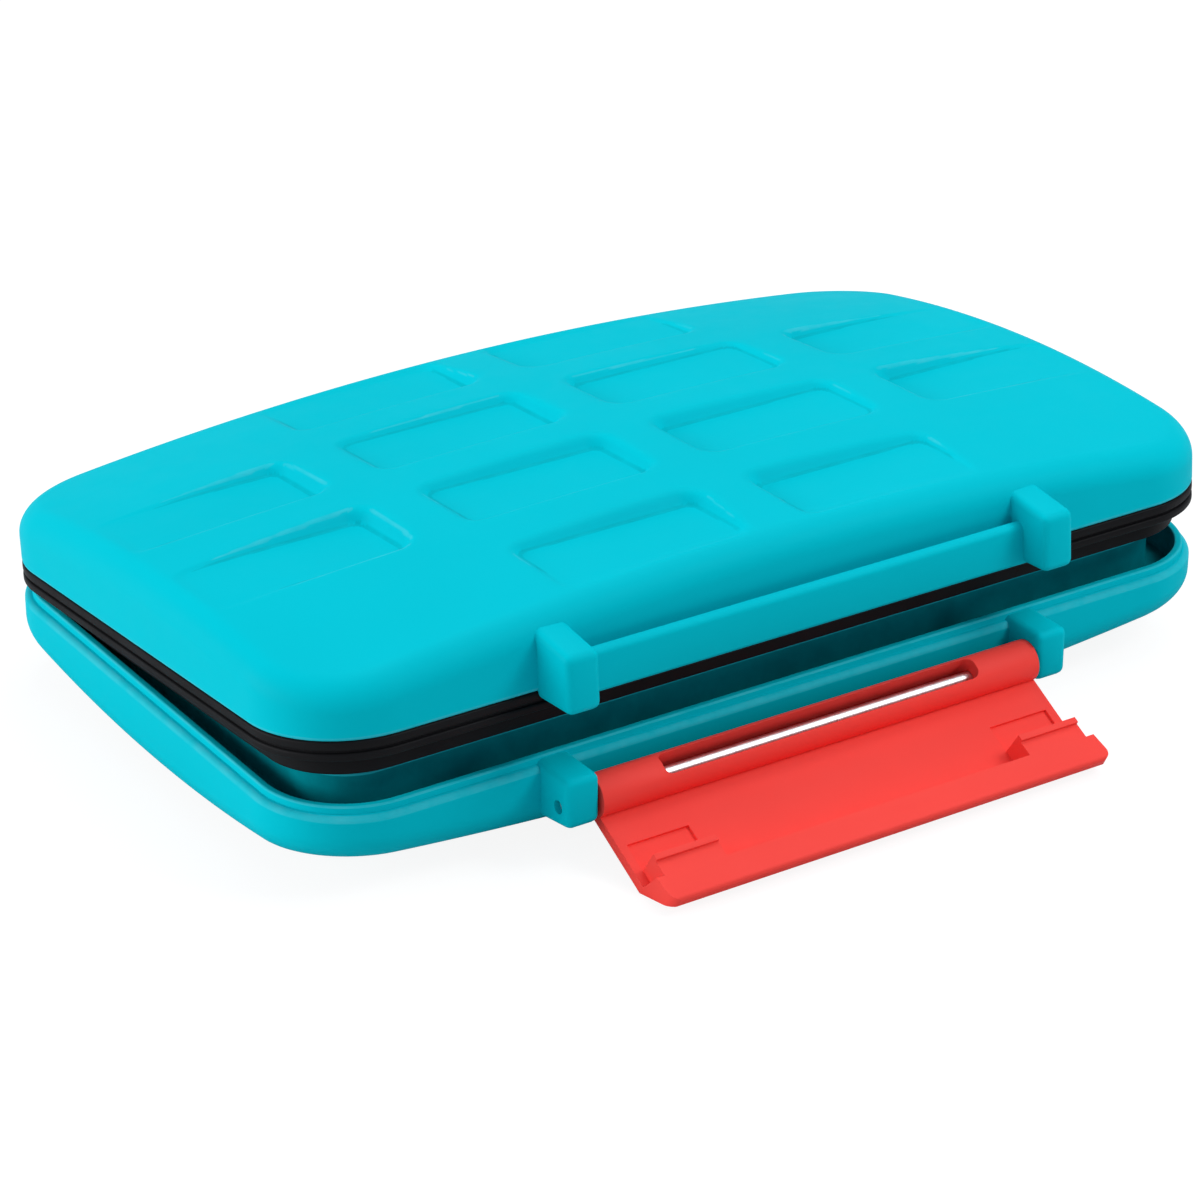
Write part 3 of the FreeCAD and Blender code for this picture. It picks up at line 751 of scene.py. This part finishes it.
def turned_steel(name, shade):
    """Steel pin with fine turning marks around its length."""
    finish, tree, shader, place = new_finish(name)
    base = list(shade)
    stretch = tree.nodes.new("ShaderNodeMapping")
    stretch.inputs["Scale"].default_value = (9000.0, 300.0, 300.0)
    tree.links.new(place, stretch.inputs["Vector"])
    marks = noise(tree, stretch.outputs[0], scale=1.0)
    tint = tinted(tree, spread(tree, marks), scaled(base, 0.75), base)
    tree.links.new(tint, shader.inputs["Base Color"])
    tree.links.new(spread(tree, marks, low=0.25, high=0.45), shader.inputs["Roughness"])
    shader.inputs["Metallic"].default_value = 1.0
    bumped(tree, shader, marks, strength=0.15, distance=0.02 * MM)
    return finish


def shell_finish(settings):
    """The teal plastic of both shells."""
    return moulded_plastic("teal_moulded", settings.colours.shell, roughness=0.48, specular=0.015)


def latch_finish(settings):
    """The red plastic of the latch."""
    return moulded_plastic("red_moulded", settings.colours.latch, roughness=0.5, specular=0.08)


def mark_edges(mesh):
    """Marks the rounded edges, where a paler highlight is painted, and the creases, where darker shade is
    painted.
    """
    work = bmesh.new()
    work.from_mesh(mesh)
    bmesh.ops.remove_doubles(work, verts=work.verts, dist=WELD_GAP)
    least_bend = math.radians(8)
    widest_round = 0.3 * MM
    highlighted = []
    creased = []
    for vertex in work.verts:
        shared = [edge for edge in vertex.link_edges if len(edge.link_faces) == 2]
        bends = [(edge.calc_face_angle_signed(0.0), edge) for edge in shared]
        bend, edge = max(bends, key=lambda pair: abs(pair[0]), default=(0.0, None))
        on_round = False
        if abs(bend) > least_bend:
            along = (edge.verts[1].co - edge.verts[0].co).normalized()
            ways = [corner.co - vertex.co for face in vertex.link_faces for corner in face.verts]
            on_round = max((way - along * way.dot(along)).length for way in ways) < widest_round
        # Convex rounds are marked for a painted highlight.
        highlighted.append(1.0 if on_round and bend > 0 else 0.0)
        # Concave rounds are marked for painted shade.
        creased.append(1.0 if on_round and bend < 0 else 0.0)
    work.to_mesh(mesh)
    work.free()
    for name, values in (("edge_highlight", highlighted), ("crease_shade", creased)):
        marks = mesh.attributes.new(name, "FLOAT", "POINT")
        marks.data.foreach_set("value", values)


# Operators

class CARDCASE_OT_lid(bpy.types.Operator):
    """Builds the domed lid with its recesses, lugs, strike ledge and hinge knuckles"""
    bl_idname = "cardcase.lid"
    bl_label = "Lid shell"

    def execute(self, context):
        settings = context.scene.card_case
        shell = settings.shell
        lid = settings.lid
        pieces = [self.dome(shell, lid, shell_finish(settings))]
        pieces += self.lugs(shell, settings.front)
        pieces.append(self.ledge(shell, settings.front))
        pieces += self.knuckles(shell, settings.hinge)
        mesh = joined("lid_shell", pieces, lid_turn())
        mark_edges(mesh)
        finished("lid_moulding", mesh, shell_finish(settings), "lid", ["lid_shell"])
        return {"FINISHED"}

    def dome(self, shell, lid, finish):
        half_x = shell.length / 2
        half_y = shell.width / 2
        inner = lid.edge_round
        spans_x = recess_spans(lid.recess_pitch_x, lid.recess_length, lid.recess_corner)
        spans_y = recess_spans(lid.recess_pitch_y, lid.recess_width, lid.recess_corner)
        plan, quads, loop, outward = plan_grid(half_x - inner, half_y - inner, shell.corner - inner,
                                               step=0.8 * MM, fine_step=0.2 * MM,
                                               spans_x=spans_x, spans_y=spans_y)
        edge = plan[loop]
        rings = []
        insets = []
        shares = []
        arc_steps = 14

        def ring(inset, height, share):
            flat = edge + outward * (inner - inset)
            rings.append(np.column_stack([flat, np.full(len(flat), height)]))
            insets.append(inset)
            shares.append(share)

        for step_number in range(1, arc_steps + 1):
            angle = math.pi / 2 * step_number / arc_steps
            ring(inner * (1.0 - math.sin(angle)), 0.0, 1.0)
        for share in (0.75, 0.5):
            ring(0.0, 0.0, share)
        wall_foot = lid.rim_round * 1.2
        inner_round = 0.3 * MM
        rim = rounded_profile([(0.0, wall_foot, 0.0), (0.0, 0.0, lid.rim_round),
                               (lid.rim_width, 0.0, inner_round), (lid.rim_width, lid.pad_seat, 0.0)])
        for inset, height in rim:
            ring(inset, height, 0.0)
        points = np.column_stack([plan, np.zeros(len(plan))])
        vertices, faces = shell_skin(points, quads, loop, rings)
        source = new_object("lid_plan", mesh_from("lid_plan", vertices, faces))
        count = len(loop)
        wall = np.concatenate([np.full(len(plan), inner), np.repeat(insets, count), [0.0]])
        part = np.concatenate([np.ones(len(plan)), np.repeat(shares, count), [0.0]])
        for name, values in (("edge_inset", wall), ("wall_share", part)):
            mark = source.data.attributes.new(name, "FLOAT", "POINT")
            mark.data.foreach_set("value", values.astype(np.float32))
        values = {words: getattr(lid, name) for words, name in LID_INPUTS.items() if name}
        values["Half length"] = half_x
        values["Half width"] = half_y
        values["Lid rim"] = lid_rim(shell)
        values["Finish"] = finish
        mesh = grown(source, lid_rule_tree(), values)
        for name in ("edge_inset", "wall_share"):
            mesh.attributes.remove(mesh.attributes[name])
        return mesh

    def lugs(self, shell, front):
        wall = -shell.width / 2
        rim = lid_rim(shell)
        nose = wall - front.lid_lug_reach
        root = wall + front.lid_lug_root
        foot = rim - front.lid_lug_drop
        top = foot + front.lid_lug_height
        root_top = top + front.lid_lug_top_rise
        profile = [(nose, foot), (nose, top), (root, root_top), (root, rim), (wall, rim), (wall, foot)]
        bars = [soft_bar(profile, x_from, x_from + front.lug_width, front.lug_round, reaches_front(nose))
                for x_from in lug_starts(front)]
        return [as_mesh(bar, "lid_lug") for bar in bars]

    def ledge(self, shell, front):
        wall = -shell.width / 2
        rim = lid_rim(shell)
        nose = wall - front.ledge_reach
        groove = wall - front.groove_width
        root = wall + front.lug_root
        foot = rim - front.ledge_drop
        back = rim + front.ledge_back_height
        slope = (front.ledge_back_height - front.ledge_front_height) / front.ledge_reach
        bed = back - front.groove_depth
        top = rim + front.ledge_front_height
        groove_edge = back - slope * front.groove_width
        profile = [(nose, foot), (nose, top), (groove, groove_edge), (groove, bed), (root, bed),
                   (root, rim), (wall, rim), (wall, foot)]
        end = front.lug_inner + front.lug_width / 2
        return as_mesh(soft_bar(profile, -end, end, front.ledge_round, along_front(nose)), "strike_ledge")

    def knuckles(self, shell, hinge):
        half = hinge.lid_knuckle / 2
        return [knuckle(shell, hinge, middle - half, middle + half, 1)
                for middle in hinge_middles(shell, hinge)]


def recess_spans(pitch, size, corner):
    """Spans around the recess walls on one side of the middle."""
    margin = 0.8 * MM
    near = (pitch - size) / 2
    far = near + size
    following = near + pitch
    return [(near - margin, near + corner), (far - corner, far + margin),
            (following - margin, following + corner)]


def lug_starts(front):
    """Left ends of the two lugs."""
    return -front.lug_inner - front.lug_width, front.lug_inner


def hinge_middles(shell, hinge):
    """Middles of the two hinge groups."""
    middle = shell.length / 2 - hinge.end_inset
    return -middle, middle


def knuckle(shell, hinge, x_from, x_to, side):
    """Hinge knuckle with its gusset: side 1 rises to the lid, side -1 goes down to the base."""
    wall = shell.width / 2
    pivot = Vector(JOINTS["lid_hinge"]["pos_m"])
    radius = hinge.knuckle_radius
    slant = math.radians(20)
    arm_round = 0.12 * MM
    barrel_round = 0.25 * MM
    root = wall - hinge.root
    if side > 0:
        rim = lid_rim(shell)
        far = rim + hinge.lid_gusset
        bore = hinge.pin_radius + hinge.clearance
    else:
        rim = shell.rim_height
        far = rim - hinge.base_gusset
        bore = hinge.pin_radius
    gusset = [(root, far), (root, rim), (wall, rim), (pivot.y, pivot.z),
              (pivot.y + radius * math.cos(slant), pivot.z + side * radius * math.sin(slant))]
    arm = as_mesh(soft_bar(gusset, x_from, x_to, arm_round, segments=2), "knuckle_arm")
    barrel = as_mesh(round_rod(radius, x_from, x_to, pivot.y, pivot.z, barrel_round), "knuckle_barrel")
    whole = carved(barrel, arm, "UNION")
    hole = as_mesh(round_rod(bore, x_from - MM, x_to + MM, pivot.y, pivot.z, 0.0), "knuckle_bore")
    return carved(whole, hole)


class CARDCASE_OT_base(bpy.types.Operator):
    """Builds the base with its lip, moat, tongue, latch lugs and hinge knuckles"""
    bl_idname = "cardcase.base"
    bl_label = "Base shell"

    def execute(self, context):
        settings = context.scene.card_case
        shell = settings.shell
        pieces = [self.tub(shell)]
        pieces += self.lugs(shell, settings.front)
        pieces += self.knuckles(shell, settings.hinge)
        mesh = joined("base_shell", pieces)
        mark_edges(mesh)
        self.mark_moat(mesh, shell)
        finished("base_moulding", mesh, shell_finish(settings), "base", ["base_shell"])
        return {"FINISHED"}

    def tub(self, shell):
        half_x = shell.length / 2
        half_y = shell.width / 2
        inner = shell.base_round
        plan, quads, loop, outward = plan_grid(half_x - inner, half_y - inner, shell.corner - inner,
                                               step=1.0 * MM)
        edge = plan[loop]

        def underside(flat):
            in_x = (flat[:, 0] / half_x) ** 2
            in_y = (flat[:, 1] / half_y) ** 2
            rise = shell.base_fall_x * in_x + shell.base_fall_y * in_y
            rise = rise + shell.base_fall_corner * in_x * in_y
            return np.maximum(rise - shell.base_crown, 0.0)

        rings = []
        arc_steps = 12
        for step_number in range(1, arc_steps + 1):
            inset = inner * (1.0 - math.sin(math.pi / 2 * step_number / arc_steps))
            flat = edge + outward * (inner - inset)
            lift = inner - math.sqrt(max(inner ** 2 - (inner - inset) ** 2, 0.0))
            rings.append(np.column_stack([flat, underside(flat) + lift]))
        wall = rings[-1]
        rim = shell.rim_height
        for share in (0.4, 0.8):
            up = wall.copy()
            up[:, 2] += (rim - shell.rim_round - up[:, 2]) * share
            rings.append(up)
        lip_out = shell.lip_setback
        lip_in = lip_out + shell.lip_width
        lip_top = rim + shell.lip_height
        moat_out = lip_in + shell.moat_width
        moat_low = rim - shell.moat_depth
        tongue_in = moat_out + shell.tongue_width
        tongue_top = rim + shell.tongue_height
        seat = rim - shell.seat_depth
        wall_top = rim - shell.rim_round * 1.05
        foot_round = 0.08 * MM
        lip_round = 0.28 * MM
        moat_round = 0.4 * MM
        tongue_round = 0.5 * MM
        path = rounded_profile([(0.0, wall_top, 0.0), (0.0, rim, shell.rim_round),
                                (lip_out, rim, foot_round), (lip_out, lip_top, lip_round),
                                (lip_in, lip_top, lip_round), (lip_in, moat_low, moat_round),
                                (moat_out, moat_low, moat_round), (moat_out, tongue_top, tongue_round),
                                (tongue_in, tongue_top, tongue_round), (tongue_in, seat, 0.0)], segments=6)
        for inset, height in path:
            flat = edge + outward * (inner - inset)
            rings.append(np.column_stack([flat, np.full(len(flat), height)]))
        points = np.column_stack([plan, underside(plan)])
        vertices, faces = shell_skin(points, quads, loop, rings)
        faces = [tuple(reversed(face)) for face in faces]
        return mesh_from("base_tub", vertices, faces)

    def mark_moat(self, mesh, shell):
        """Marks the moat between lip and tongue, where darker shade is painted into the plastic's colour.
        """
        places = np.empty(len(mesh.vertices) * 3, dtype=np.float32)
        mesh.vertices.foreach_get("co", places)
        x, y, z = np.abs(places.reshape(-1, 3)).T
        past_x = x - (shell.length / 2 - shell.corner)
        past_y = y - (shell.width / 2 - shell.corner)
        outside = np.hypot(np.maximum(past_x, 0.0), np.maximum(past_y, 0.0))
        inset = shell.corner - outside - np.minimum(np.maximum(past_x, past_y), 0.0)
        edge = 0.05 * MM
        near = shell.lip_setback + shell.lip_width - edge
        far = near + shell.moat_width + 2 * edge
        tongue_round = 0.45 * MM
        under_top = z < shell.rim_height + shell.tongue_height - tongue_round
        in_moat = (inset > near) & (inset < far) & under_top
        marks = mesh.attributes.new("deep_shade", "FLOAT", "POINT")
        marks.data.foreach_set("value", in_moat.astype(np.float32))

    def lugs(self, shell, front):
        wall = -shell.width / 2
        pivot = Vector(JOINTS["latch_hinge"]["pos_m"])
        nose = wall - front.base_lug_reach
        root = wall + front.lug_root
        top = shell.rim_height + front.base_lug_rise
        foot = top - front.base_lug_height
        profile = [(nose, foot), (nose, top), (root, top), (root, foot - front.base_lug_root_drop)]
        made = []
        for x_from in lug_starts(front):
            x_to = x_from + front.lug_width
            bar = soft_bar(profile, x_from, x_to, front.lug_round, reaches_front(nose))
            rod = round_rod(front.pin_radius, x_from - MM, x_to + MM, pivot.y, pivot.z, 0.0)
            made.append(carved(as_mesh(bar, "base_lug"), as_mesh(rod, "lug_hole")))
        return made

    def knuckles(self, shell, hinge):
        near = hinge.lid_knuckle / 2 + hinge.gap
        far = near + hinge.base_knuckle
        made = []
        for middle in hinge_middles(shell, hinge):
            made.append(knuckle(shell, hinge, middle - far, middle - near, -1))
            made.append(knuckle(shell, hinge, middle + near, middle + far, -1))
        return made


class CARDCASE_OT_seal(bpy.types.Operator):
    """Sweeps the black seal around the lid's rim"""
    bl_idname = "cardcase.seal"
    bl_label = "Seal"

    def execute(self, context):
        settings = context.scene.card_case
        shell = settings.shell
        plan, _, loop, _ = plan_grid(shell.length / 2, shell.width / 2, shell.corner, step=1.0 * MM)
        outline = bpy.data.curves.new("seal_outline", "CURVE")
        outline.dimensions = "3D"
        spline = outline.splines.new("POLY")
        path = plan[loop]
        spline.points.add(len(path) - 1)
        flat = np.column_stack([path, np.zeros(len(path)), np.ones(len(path))])
        spline.points.foreach_set("co", flat.ravel())
        spline.use_cyclic_u = True
        finish = soft_rubber("seal_black", settings.colours.seal, dust=1.8, grain=3800.0, roughness=0.5)
        values = {words: number * MM for words, number in SEAL_SIZES.items()}
        values["Lid rim"] = lid_rim(shell)
        values["Finish"] = finish
        mesh = grown(new_object("seal_outline", outline), seal_sweep_tree(), values)
        mesh = joined("lid_seal", [mesh], lid_turn())
        finished("rim_seal", mesh, finish, "lid", ["lid_seal"])
        return {"FINISHED"}


class CARDCASE_OT_latch(bpy.types.Operator):
    """Softens the edges of the red latch"""
    bl_idname = "cardcase.latch"
    bl_label = "Latch"

    def execute(self, context):
        settings = context.scene.card_case
        flat_angle = math.radians(1.0)
        sharp_angle = math.radians(28)
        edge_round = 0.22 * MM
        work = bmesh.new()
        work.from_mesh(frame["nodes"]["latch"].data)
        bmesh.ops.remove_doubles(work, verts=work.verts, dist=SAME_PLACE)
        bmesh.ops.dissolve_limit(work, angle_limit=flat_angle, verts=work.verts, edges=work.edges)
        sharp = [edge for edge in work.edges
                 if len(edge.link_faces) == 2 and edge.calc_face_angle(0.0) > sharp_angle]
        bmesh.ops.bevel(work, geom=sharp, offset=edge_round, segments=3, profile=0.5, affect="EDGES",
                        clamp_overlap=True)
        bmesh.ops.triangulate(work, faces=work.faces)
        mesh = as_mesh(work, "latch")
        mark_edges(mesh)
        finished("latch_moulding", mesh, latch_finish(settings), "latch", ["latch"])
        return {"FINISHED"}


class CARDCASE_OT_inserts(bpy.types.Operator):
    """Gives the card tray, the lid pad and the pins their finishes"""
    bl_idname = "cardcase.inserts"
    bl_label = "Tray, pad and pins"

    def execute(self, context):
        colours = context.scene.card_case.colours
        rubber = soft_rubber("tray_black", colours.tray, dust=1.6, grain=2600.0, roughness=0.62)
        steel = turned_steel("pin_steel_turned", colours.pin)
        finishes = {"base_card_tray": rubber, "lid_card_pad": rubber, "latch_pin": steel,
                    "hinge_pin_left": steel, "hinge_pin_right": steel}
        for node, finish in finishes.items():
            piece = frame["nodes"][node]
            for slot in piece.material_slots:
                slot.material = finish
        return {"FINISHED"}


# Softboxes around the case, in metres and watts
LAMPS = {
    "back_softbox": {"place": (0.42, 0.28, 1.3), "width": 1.0, "height": 1.0, "power": 8.3},
    "left_softbox": {"place": (-1.17, 0.46, 0.34), "width": 1.2, "height": 0.6, "power": 13.0},
    "front_softbox": {"place": (0.3, -0.32, 0.46), "width": 0.25, "height": 0.25, "power": 1.45},
}
CAMERA_PLACE = (-0.27706, -0.42448, 0.25922)
CAMERA_AIM = (0.48668, 0.75118, -0.44595)
CAMERA_LENS = 127.2
CAMERA_SENSOR = 36.0


def shown_to_camera(tree, plain, shown, share, output):
    """Shows the camera a share of one shader, and everything else only the plain one."""
    path = tree.nodes.new("ShaderNodeLightPath")
    amount = tree.nodes.new("ShaderNodeMath")
    amount.operation = "MULTIPLY"
    amount.inputs[1].default_value = share
    mix = tree.nodes.new("ShaderNodeMixShader")
    tree.links.new(path.outputs["Is Camera Ray"], amount.inputs[0])
    tree.links.new(amount.outputs[0], mix.inputs[0])
    tree.links.new(plain.outputs[0], mix.inputs[1])
    tree.links.new(shown.outputs[0], mix.inputs[2])
    tree.links.new(mix.outputs[0], tree.nodes[output].inputs["Surface"])


class CARDCASE_OT_stage(bpy.types.Operator):
    """Sets up the floor, the studio light and the camera"""
    bl_idname = "cardcase.stage"
    bl_label = "Stage"

    def execute(self, context):
        scene = context.scene
        scene.view_settings.view_transform = "Standard"
        self.floor()
        self.world(scene)
        for name, lamp in LAMPS.items():
            self.lamp(name, **lamp)
        self.camera(scene)
        return {"FINISHED"}

    def floor(self):
        half_size = 3.0
        cells = 8
        work = bmesh.new()
        bmesh.ops.create_grid(work, x_segments=cells, y_segments=cells, size=half_size)
        floor = new_object("studio_floor", as_mesh(work, "studio_floor"))
        paper = bpy.data.materials.new("white_paper")
        paper.use_nodes = True
        tree = paper.node_tree
        matt = tree.nodes["Principled BSDF"]
        matt.inputs["Base Color"].default_value = (0.65, 0.65, 0.65, 1.0)
        matt.inputs["Roughness"].default_value = 0.9
        matt.inputs["Specular IOR Level"].default_value = 0.1
        glow = tree.nodes.new("ShaderNodeEmission")
        glow.inputs["Strength"].default_value = 1.2
        shown_to_camera(tree, matt, glow, share=0.75, output="Material Output")
        floor.data.materials.append(paper)

    def world(self, scene):
        world = bpy.data.worlds.new("studio")
        scene.world = world
        world.use_nodes = True
        tree = world.node_tree
        soft = tree.nodes["Background"]
        soft.inputs["Color"].default_value = (0.9, 0.98, 1.12, 1.0)
        soft.inputs["Strength"].default_value = 0.36
        white = tree.nodes.new("ShaderNodeBackground")
        white.inputs["Color"].default_value = (1.0, 1.0, 1.0, 1.0)
        shown_to_camera(tree, soft, white, share=1.0, output="World Output")

    def lamp(self, name, place, width, height, power):
        light = bpy.data.lights.new(name, "AREA")
        light.shape = "RECTANGLE"
        light.size = width
        light.size_y = height
        light.energy = power
        lamp = bpy.data.objects.new(name, light)
        lamp.location = place
        lamp.rotation_euler = (-Vector(place)).to_track_quat("-Z", "Y").to_euler()
        bpy.context.scene.collection.objects.link(lamp)

    def camera(self, scene):
        lens = bpy.data.cameras.new("photo_view")
        lens.sensor_width = CAMERA_SENSOR
        lens.lens = CAMERA_LENS
        camera = bpy.data.objects.new("photo_view", lens)
        camera.location = CAMERA_PLACE
        camera.rotation_euler = Vector(CAMERA_AIM).to_track_quat("-Z", "Y").to_euler()
        scene.collection.objects.link(camera)
        scene.camera = camera


class CARDCASE_PT_panel(bpy.types.Panel):
    """Lists the steps and sizes of the card case"""
    bl_idname = "CARDCASE_PT_panel"
    bl_label = "Card Case"
    bl_space_type = "VIEW_3D"
    bl_region_type = "UI"
    bl_category = "Card Case"

    def draw(self, context):
        settings = context.scene.card_case
        for operator in OPERATORS:
            self.layout.operator(operator.bl_idname)
        for group in (settings.shell, settings.lid, settings.front, settings.hinge, settings.colours):
            box = self.layout.box()
            for name in group.__annotations__:
                box.prop(group, name)


OPERATORS = (CARDCASE_OT_lid, CARDCASE_OT_base, CARDCASE_OT_seal, CARDCASE_OT_latch, CARDCASE_OT_inserts,
             CARDCASE_OT_stage)
CLASSES = (CardCaseShellSizes, CardCaseLidSizes, CardCaseFrontSizes, CardCaseHingeSizes, CardCaseColours,
           CardCaseSettings, *OPERATORS, CARDCASE_PT_panel)


def register():
    for entry in CLASSES:
        bpy.utils.register_class(entry)
    bpy.types.Scene.card_case = bpy.props.PointerProperty(type=CardCaseSettings, name="Card case",
                                                          description="Settings of the card case")


def unregister():
    del bpy.types.Scene.card_case
    for entry in reversed(CLASSES):
        bpy.utils.unregister_class(entry)


def main():
    register()
    bpy.ops.cardcase.lid()
    bpy.ops.cardcase.base()
    bpy.ops.cardcase.seal()
    bpy.ops.cardcase.latch()
    bpy.ops.cardcase.inserts()
    bpy.ops.cardcase.stage()
    bpy.context.view_layer.update()


if __name__ == "__main__":
    main()
